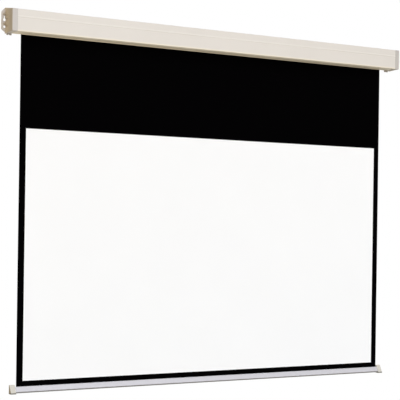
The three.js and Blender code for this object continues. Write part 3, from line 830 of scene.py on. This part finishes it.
# %% Fold the casing
hem_bend, back_bend, foot_bend, lip_bend, channel_bend = mm(1.5, 2.5, 1.8, 1.5, 1.2)
casing = pull_sheet("casing", casing_outline, casing_low.x, casing_high.x)
main_folds = {1: hem_bend, 2: back_bend, 3: back_bend, 4: back_bend, 12: foot_bend, 17: lip_bend}
round_folds(casing, casing_outline, main_folds, 5)
round_folds(casing, casing_outline, dict.fromkeys((13, 14, 15, 16), channel_bend), 3)
thicken_inwards(casing, casing_wall, front + CLOSE)
tell(casing)

# %% [markdown]
# One screw at each end holds an end cap in the casing, through a hole in its top.

# %% Drill the casing
screw_hole_radius = 1.8 * MM
cap_screw_x, cap_screw_y = mm(946.3, -36.85)
for side in (-1, 1):
    spot = (side * cap_screw_x, cap_screw_y)
    drill = rod("drill", (*spot, top - 3 * MM), (*spot, top + 3 * MM), screw_hole_radius)
    cut(casing, drill)
finish_piece(casing, "casing_shell", "casing", casing_paint)

# %% [markdown]
# ## The end caps
# A moulded cap closes each end: a cup with the casing's outline, a ring that slides inside the
# casing, and a plate against the wall with two small feet and an ear. The ear has a keyhole, a
# round hole for a second screw and two ribs. Moulded edges are never sharp, so every block but the
# ribs is rounded before it is joined.

# %% Cap sizes
cap_low, cap_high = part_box("right_end_cap")
cap_front, ear_top, ear_end = cap_low.y, cap_high.z, cap_high.x
cup_start, cup_end, cup_wall = mm(955.3, 978.3, 2.5)
plate_thickness, plate_foot = 4 * MM, foot - 2 * MM
roller_y, carrier_screw_z = -30.76 * MM, mm(26, -26)
hole_x = ear_end - 12.4 * MM
keyhole_z, keyhole_rise, round_hole_z = mm(6.5, 13, -21)
keyhole_head, keyhole_neck, round_hole = mm(6, 2.6, 5.1)
print("cap from", round(cap_low.x, 4), "to", round(cap_high.x, 4))


# %% Blocks along the casing
def rounded_box(name, low, high, foot_radius, top_radius, back_radius=0, segments=5):
    """A block along X. Its front foot, its front top and both its back edges have a radius."""
    made = block(name, low, high)
    low, high = Vector(low), Vector(high)
    for y, z, radius in (
        (low.y, low.z, foot_radius),
        (low.y, high.z, top_radius),
        (high.y, high.z, back_radius),
        (high.y, low.z, back_radius),
    ):
        if radius:
            round_edges(made, runs_along(0, y=y, z=z), radius, segments)
    return made


# %% The cup
# Its back ends inside the plate, so that no faces coincide where they are joined
cup_back = -plate_thickness / 2
cup_low, cup_high = (cup_start, cap_front, foot), (cup_end, cup_back, top)
cup = rounded_box("right_cap", cup_low, cup_high, 2 * MM, 2.5 * MM, segments=6)
round_edges(cup, lies_at(x=cup_end), 0.9 * MM, 3)
inner_low = (cup_start - 1 * MM, cap_front + cup_wall, foot + cup_wall)
inner_high = (cup_end - cup_wall, cup_back - 0.5 * MM, top - cup_wall)
inside = rounded_box("inside", inner_low, inner_high, 0.5 * MM, 0.5 * MM)
cut(cup, inside)
tell(cup)

# %% [markdown]
# The ring inside the casing stands a fold's thickness in, and ends above the slot's hem.

# %% The ring inside the casing
ring_gap, ring_wall = mm(1.3, 2)
ring_start, ring_end = cup_start - 12 * MM, cup_start + cup_wall
ring_floor = foot + casing_wall + 6 * MM
ring_low = (ring_start, cap_front + ring_gap, ring_floor)
ring_high = (ring_end, -ring_gap, top - ring_gap)
ring = rounded_box("ring", ring_low, ring_high, 1.7 * MM, 1.2 * MM, 1.2 * MM)
round_edges(ring, lies_at(x=ring_start), 0.5 * MM, 2)
room_low = (ring_start - 1 * MM, cap_front + ring_gap + ring_wall, ring_floor + ring_wall)
room_high = (ring_end + 1 * MM, -ring_gap - ring_wall, top - ring_gap - ring_wall)
ring_inside = rounded_box("ring_inside", room_low, room_high, 0.4 * MM, 0.4 * MM, 0.4 * MM)
cut(ring, ring_inside)
join(cup, ring)
boss_start, boss_end, boss_radius = 952.1 * MM, cup_end - cup_wall / 2, 4.2 * MM
for height in carrier_screw_z:
    boss = rod("boss", (boss_start, roller_y, height), (boss_end, roller_y, height), boss_radius)
    join(cup, boss)
tell(cup)

# %% [markdown]
# The plate is a block whose outer corners are cut off. The corners that this leaves are rounded.

# %% The plate against the wall
plate_start, plate_corners = cup_start + 0.1 * MM, cup_end - 10 * MM
plate = block("plate", (plate_start, -plate_thickness, plate_foot), (ear_end, 0, ear_top))
for rise, outward in (
    (ear_top - 15.5 * MM, (1, 0, 1)),
    (plate_foot + 15 * MM, (15, 0, -21)),
):
    with editing(plate):
        cut_off((ear_end, 0, rise), outward)
outer_corners = lambda e: runs_along(1)(e) and middle(e).x > plate_corners
round_edges(plate, outer_corners, 2.5 * MM, 4)
round_edges(plate, lies_at(y=-plate_thickness), 0.7 * MM, 3)
tell(plate)

# %% The feet under the plate
# The feet and their web are joined first. The web is a little thinner, so that no faces coincide
foot_sole = foot - 8 * MM
feet = []
for stub_start, stub_end, sole, thickness_share in (
    (cup_end - 15 * MM, cup_end - 8 * MM, foot_sole, 0.95),
    (cup_start - 5.5 * MM, cup_start + 3.5 * MM, foot_sole, 0.95),
    (cup_start - 2 * MM, cup_end - 11 * MM, foot - 5 * MM, 0.85),
):
    stub_low = (stub_start, -plate_thickness * thickness_share, sole)
    stub_top = foot - 0.6 * MM * thickness_share
    stub_high = (stub_end, -plate_thickness * (1 - thickness_share), stub_top)
    feet.append(block("stub", stub_low, stub_high))
    round_edges(feet[-1], runs_along(1, z=sole), 1.0 * MM, 3)
front_foot, rear_foot, foot_web = feet
join(foot_web, front_foot)
join(foot_web, rear_foot)
join(plate, foot_web)
join(cup, plate)
tell(cup)

# %% [markdown]
# The cup's side flares towards the wall. One thin web rises from it to the plate's top, and
# another drops a little below its foot.

# %% The side's flare
flare_start, flare_back = cap_front + 6 * MM, -plate_thickness * 0.4
flare_inner, flare_skin = cup_end - 2.4 * MM, cup_end - 0.15 * MM
for root, rise, tip in (
    (top, -3 * MM, ear_top - 1 * MM),
    (foot, 3 * MM, foot - 4 * MM),
):
    low_z, high_z = sorted((root + rise, tip))
    web = block("web", (flare_inner, flare_start, low_z), (flare_skin, flare_back, high_z))
    climb, run = tip - root, -plate_thickness - flare_start
    outward = Vector((0, -climb, run)).normalized() * (1 if climb > 0 else -1)
    with editing(web):
        cut_off((0, flare_start, root), outward)
    round_edges(web, lies_at(x=flare_skin), 0.6 * MM, 2)
    join(cup, web)
tell(cup)

# %% [markdown]
# Each rib is a short bar whose outer face is pulled out and then drawn back, which gives its
# slope.

# %% The ear's ribs
rib_half, rib_reach, rib_depth = 3 * MM / 2, 11 * MM, 24 * MM
for height in mm(30, -8):
    rib_low = (cup_end - cup_wall / 2, -rib_depth, height - rib_half)
    rib = block("rib", rib_low, (cup_end, -plate_thickness / 2, height + rib_half))
    with editing(rib, "FACE", lambda f: f.normal.x > 0.9):
        pull_out(rib_reach, 0, 0)
        pick(rib, "VERT", lambda v: near(v.co, x=cup_end + rib_reach, y=-rib_depth))
        shift(0, rib_depth - plate_thickness + 0.1 * MM, 0)
    join(cup, rib)
tell(cup)

# %% [markdown]
# A screwdriver must reach the holes past the cup's side, so the side is scooped out in front of
# each: a cone of wall is added, and a smaller cone is cut from it.

# %% Scoops in front of the holes
scoop_depth, scoop_end, scoop_margin = mm(34, 3, 2)
scoops = [
    (keyhole_z, keyhole_head + scoop_margin),
    (keyhole_z + keyhole_rise, keyhole_head),
    (round_hole_z, round_hole + scoop_margin),
]
for height, radius in scoops:
    start = (hole_x, -plate_thickness / 4, height)
    end = (hole_x, -scoop_depth - plate_thickness * 1.2, height)
    shell = rod("shell", start, end, radius + cup_wall, scoop_end + cup_wall / 2)
    room = block("room", (cup_start, cap_front, foot), (cup_end - 0.2 * MM, 0, top))
    combine(shell, room, "INTERSECT")
    join(cup, shell)
for height, radius in scoops:
    start = (hole_x, -plate_thickness + 0.1 * MM, height)
    end = (hole_x, -scoop_depth - plate_thickness, height)
    cut(cup, rod("scoop", start, end, radius, scoop_end))
tell(cup)


# %% Holes and screw bores
def through(height, radius):
    return rod("hole", (hole_x, 1 * MM, height), (hole_x, -scoop_depth / 2, height), radius)


bore_radius, bore_start, bore_end = mm(1.75, 951, 967.1)
top_bore = [(cap_screw_x, cap_screw_y, top + rise) for rise in mm(-8, 1)]
neck_half = keyhole_neck * 0.99
neck_low = (hole_x - neck_half, -scoop_depth / 2, keyhole_z)
neck_high = (hole_x + neck_half, 1 * MM, keyhole_z + keyhole_rise)
for cutter in (
    through(keyhole_z, keyhole_head),
    block("neck", neck_low, neck_high),
    through(keyhole_z + keyhole_rise, keyhole_neck),
    through(round_hole_z, round_hole),
    *(
        rod("bore", (bore_start, roller_y, height), (bore_end, roller_y, height), bore_radius)
        for height in carrier_screw_z
    ),
    rod("bore", *top_bore, bore_radius),
):
    cut(cup, cutter)
tell(cup)


# %% [markdown]
# The left cap is mirrored. That turns its mesh inside out, and handing it over turns the faces
# round again.

# %% Mirror image
def finish_pair(piece, twin_name, kind, body):
    """Hands over a moulded piece for the right end and its mirror image for the left one."""
    twin = copy_of(piece)
    twin.name = twin_name
    with editing(twin):
        bpy.ops.transform.resize(value=(-1, 1, 1), center_override=(0, 0, 0))
    for made, node in ((piece, f"right_{kind}"), (twin, f"left_{kind}")):
        finish_piece(made, node, body, cap_plastics[node])


finish_pair(cup, "left_cap", "end_cap", "casing")

# %% [markdown]
# ## The bottom bar
# The bar is an extruded tube, narrow at the top, where a slot takes the cloth, and wide at the
# foot. Its outline runs from the slot's front lip to its rear lip, so it is pulled like the
# casing.

# %% Extrude the bar
bar_low, bar_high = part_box("bottom_bar")
bar_top, bar_foot, bar_back = bar_high.z, bar_low.z, bar_high.y
bar_wall, cloth_y, slot_half = mm(1.4, -11, 0.8)
bar_outline = [
    (cloth_y - slot_half, bar_top),
    (cloth_y - 3.5 * MM, bar_top),
    (cloth_y - 14.5 * MM, bar_foot),
    (bar_back, bar_foot),
    (bar_back, bar_top),
    (cloth_y + slot_half, bar_top),
]
bar = pull_sheet("bar_profile", bar_outline, bar_low.x, bar_high.x)
round_folds(bar, bar_outline, {1: 1.0 * MM, 4: 1.0 * MM}, 4)
round_folds(bar, bar_outline, {2: 4.5 * MM, 3: 2.0 * MM}, 8)
thicken_inwards(bar, bar_wall, cloth_y - 4 * MM)
finish_piece(bar, "bottom_bar", "bar", bar_coat)

# %% [markdown]
# ## The bar's caps
# Each cap is a block that stands a little proud of the bar. It slopes more, to a wedge that runs
# nearly to a point. A plug on its inner side fits into the bar, under the hem.

# %% Model the right bar cap
bar_cap_low, bar_cap_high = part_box("right_bar_cap")
cap_start, cap_end = 918.8 * MM, bar_cap_high.x
cap_sole, cap_peak = bar_foot - 3 * MM, bar_top + 8 * MM
cap_back, cap_toe = bar_back + 2 * MM, cloth_y - 18 * MM
cap_brow = cap_back - 5.5 * MM
bar_cap = block("right_bar_end", (cap_start, cap_toe, cap_sole), (cap_end, cap_back, cap_peak))
with editing(bar_cap, "VERT", lambda v: near(v.co, y=cap_toe, z=cap_peak)):
    shift(0, cap_brow - cap_toe, 0)
for edges, radius, segments in (
    (runs_along(0, y=cap_toe), 3.2 * MM, 6),
    (runs_along(0, y=cap_back), 2.0 * MM, 4),
    (runs_along(0, y=cap_brow), 1.3 * MM, 4),
    (lies_at(x=cap_end), 1.0 * MM, 3),
    (lies_at(x=cap_start), 0.4 * MM, 2),
):
    round_edges(bar_cap, edges, radius, segments)
tell(bar_cap)

# %% The plug
plug_slope, plug_wall, plug_hollow = 11.0 / 25.0, 2 * MM, 14 * MM
plug_floor, plug_top = bar_foot + 1.7 * MM, bar_top - 8.9 * MM
plug_back, plug_toe = bar_back - 1.7 * MM, cloth_y - 11.6 * MM
plug_low = (bar_cap_low.x, plug_toe, plug_floor)
plug = block("plug", plug_low, (cap_start + 1 * MM, plug_back, plug_top))
with editing(plug, "VERT", lambda v: near(v.co, y=plug_toe, z=plug_top)):
    shift(0, plug_slope * (plug_top - plug_floor), 0)
round_edges(plug, runs_along(0), 0.8 * MM, 3)
with editing(plug, "FACE", lambda f: f.normal.x < -0.9):
    bpy.ops.mesh.inset(thickness=plug_wall)
    pull_out(plug_hollow, 0, 0)
join(bar_cap, plug)
finish_pair(bar_cap, "left_bar_end", "bar_cap", "bar")

# %% [markdown]
# ## The hanging cloth
# The bar's weight pulls the cloth flat, so it needs no simulation. A slow swell of a few tenths of
# a millimetre is left from the roll, and moves the vertices of a fine grid. The white coat is a
# second, thinner sheet with the same swell, so the two never touch.

# %% Hang a sheet
cloth_low, cloth_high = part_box("screen_cloth")
coat_low, coat_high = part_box("viewing_face")
cloth_foot, hang_top = cloth_low.z, cloth_high.z
cloth_thickness, coat_thickness, swell_height = mm(0.44, 0.12, 0.4)


def swell(x, z):
    """How far the cloth leans out at a place. It is held straight at its top and foot."""
    held = math.sin(math.pi * min(max((z - cloth_foot) / -cloth_foot, 0), 1)) ** 0.5
    return swell_height * held * math.sin(2.4 * x + 1.1) * math.sin(5.2 * z + 0.6)


def lay_uv(piece, across):
    """A UV map in metres: along X, and what the function says of each point across it."""
    layers = piece.data.uv_layers
    layer = layers[0] if layers else layers.new(name="metres")
    for loop in piece.data.loops:
        spot = piece.data.vertices[loop.vertex_index].co
        layer.data[loop.index].uv = (spot.x, across(spot))


def hang_sheet(name, low, high, thickness, columns, rows):
    bpy.ops.mesh.primitive_grid_add(
        x_subdivisions=columns,
        y_subdivisions=rows,
        size=1,
        location=((low.x + high.x) / 2, high.y, (low.z + high.z) / 2),
        rotation=(math.pi / 2, 0, 0),
    )
    bpy.context.object.scale = (high.x - low.x, high.z - low.z, 1)
    sheet = settle(name)
    for vertex in sheet.data.vertices:
        vertex.co.y -= swell(vertex.co.x, vertex.co.z)
    thicken(sheet, thickness, 1 if sheet.data.polygons[0].normal.y < 0 else -1)
    lay_uv(sheet, lambda spot: spot.z)
    return sheet


cloth = hang_sheet("hanging_cloth", cloth_low, cloth_high, cloth_thickness, 64, 50)
coat = hang_sheet("viewing_area", coat_low, coat_high, coat_thickness, 62, 35)
finish_piece(cloth, "screen_cloth", "casing", black_cloth)
finish_piece(coat, "viewing_face", "casing", white_coat)

# %% [markdown]
# A rising screen winds its cloth onto the roller. Here only the share of their length that the
# cloth and its coat keep when the bar is up is worked out, the coat's so that it would end inside
# the casing, and each sheet gets a mesh of its own.

# %% Share of the cloth kept as the bar rises
pull_joint = next(joint for joint in frame["joints"] if joint["name"] == "screen_pull")
travel, coat_tuck = pull_joint["range_m"][1], 4 * MM
keep_share = (hang_top - cloth_foot - travel) / (hang_top - cloth_foot)
coat_keep_share = (hang_top - foot - coat_tuck) / (hang_top - coat_low.z)
for sheet, low, high, keep, under in (
    (cloth, cloth_low, cloth_high, keep_share, "wound_cloth"),
    (coat, coat_low, coat_high, coat_keep_share, "hanging_cloth"),
):
    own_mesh(sheet)
    print(sheet.name, "keeps", round(keep, 4), "of its length when up")


# %% [markdown]
# ## The cloth on the roller
# Two turns of cloth stay on the tube. The strip is pulled along a spiral from where the hanging
# cloth leaves the roll. It is a third thinner than the cloth, or it would bite into the tube.

# %% Curl a strip of cloth
def curl_strip(name, node, body, line, thickness, centre_y, centre_z, held, under):
    """Pulls a strip of cloth along a line of points that goes round a centre."""
    low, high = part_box(node)
    strip = pull_sheet(name, line, low.x, high.x)
    thicken(strip, thickness, 0)

    def round_the_centre(spot):
        arm = Vector((spot.y - centre_y, spot.z - centre_z))
        return math.atan2(arm.y, arm.x) * arm.length

    lay_uv(strip, round_the_centre)
    finish_piece(strip, node, body, black_cloth)


# %% Wind the strip
roll_radius, wound_thickness, wound_gap = mm(19.98, 0.28, 0.03)
turns, steps_per_turn = 2, 48
spiral = []
for step in range(turns * steps_per_turn + 1):
    turn = step / steps_per_turn
    radius = roll_radius - wound_thickness / 2 - (wound_thickness + wound_gap) * turn
    angle = 2 * math.pi * turn
    spiral.append((roller_y + radius * math.cos(angle), radius * math.sin(angle)))
wound = ("wound_cloth", "cloth_wraps", "roller", spiral, wound_thickness, roller_y, 0)
curl_strip(*wound, "gathered", "roller_tube")

# %% [markdown]
# ## The hem
# The cloth's foot is folded round a steel rod that is thicker than the bar's slot, so it can't
# slip out.

# %% Fold the hem
hem_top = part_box("cloth_hem")[1].z
hem_radius, rod_z = 2.4 * MM - cloth_thickness / 2, bar_top - 6.2 * MM
hem_steps, hem_turn = 28, math.radians(346)
hem_line = [(cloth_y, hem_top), (cloth_y, (hem_top + rod_z + hem_radius) / 2)]
for step in range(hem_steps + 1):
    angle = math.pi / 2 + hem_turn * step / hem_steps
    hem_line.append((cloth_y + hem_radius * math.cos(angle), rod_z + hem_radius * math.sin(angle)))
hem = ("folded_hem", "cloth_hem", "bar", hem_line, cloth_thickness, cloth_y, rod_z)
curl_strip(*hem, "folded", "hem_rod")


# %% [markdown]
# ## The screws
# Six pan head screws hold the caps and the carriers. Each length is modelled once and copied to
# its places: a head with a rounded rim and a cross, and a shank pulled out ring by ring, wide and
# narrow by turns, for the thread.

# %% Model a pan head screw
def pan_head_screw(name, length):
    head_radius, head_height, shank_radius = mm(3.2, 1.8, 1.5)
    pitch, thread_depth, tip_share = 0.6 * MM, 0.25 * MM, 0.25
    screw = rod(name, (0, 0, 0), (0, 0, head_height), head_radius, sides=32)
    round_edges(screw, lies_at(z=head_height), 0.9 * MM, 4)
    for angle in (0, math.pi / 2):
        arm = block("arm", (-1.7 * MM, -0.38 * MM, 0.7 * MM), (1.7 * MM, 0.38 * MM, 3 * MM))
        bpy.ops.transform.rotate(value=angle, orient_axis="Z", center_override=(0, 0, 0))
        settle("arm")
        cut(screw, arm)
    shank = rod("shank", (0, 0, 0.2 * MM), (0, 0, 0), shank_radius, sides=16)
    rings = int((length - shank_radius) / pitch)
    narrow = 1 - thread_depth / shank_radius
    stages = [(-pitch / 2, narrow), (-pitch / 2, 1 / narrow)] * rings
    with editing(shank, "FACE", lambda f: f.normal.z < -0.9):
        for drop, scale in stages + [(rings * pitch - length, tip_share)]:
            pull_out(0, 0, drop)
            bpy.ops.transform.resize(value=(scale, scale, 1), center_override=(0, 0, 0))
    join(screw, shank)
    return screw


def drive_screw(model, name, place, outward, node):
    """Copies the screw to its place. Its head looks outward."""
    screw = copy_of(model)
    screw.location = place
    screw.rotation_euler = Vector(outward).to_track_quat("Z", "Y").to_euler()
    finish_piece(settle(name), node, "casing", zinc_steel)


# %% Drive the screws
cap_screw = pan_head_screw("cap_screw_model", 5.5 * MM)
carrier_screw = pan_head_screw("carrier_screw_model", 12 * MM)
carrier_face = 949.65 * MM
for end, side in (("left", -1), ("right", 1)):
    spot = (side * cap_screw_x, cap_screw_y, top + 0.15 * MM)
    drive_screw(cap_screw, f"{end}_top_screw", spot, (0, 0, 1), f"{end}_cap_screw")
    for level, height in zip(("upper", "lower"), carrier_screw_z):
        name, node = f"{end}_plate_screw_{level}", f"{end}_carrier_screw_{level}"
        spot = (side * carrier_face, roller_y, height)
        drive_screw(carrier_screw, name, spot, (-side, 0, 0), node)
throw_away(cap_screw)
throw_away(carrier_screw)

# %% [markdown]
# ## What keeps its own shape
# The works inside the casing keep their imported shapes, and only get their finishes.

# %% Finishes for the works
for material, names in (
    (
        zinc_steel,
        "roller_tube idle_pin spring_rod housing_cover rear_pawl_pin front_pawl_pin left_carrier "
        "right_carrier hem_rod",
    ),
    (dark_steel, "ratchet_cam spring_collar torsion_spring rear_pawl front_pawl"),
    (nylon, "idle_plug idle_bush inner_plug pawl_housing"),
):
    for name in names.split():
        for holder in frame["nodes"][name].material_slots:
            holder.material = material
    print(material.name, "on", names)
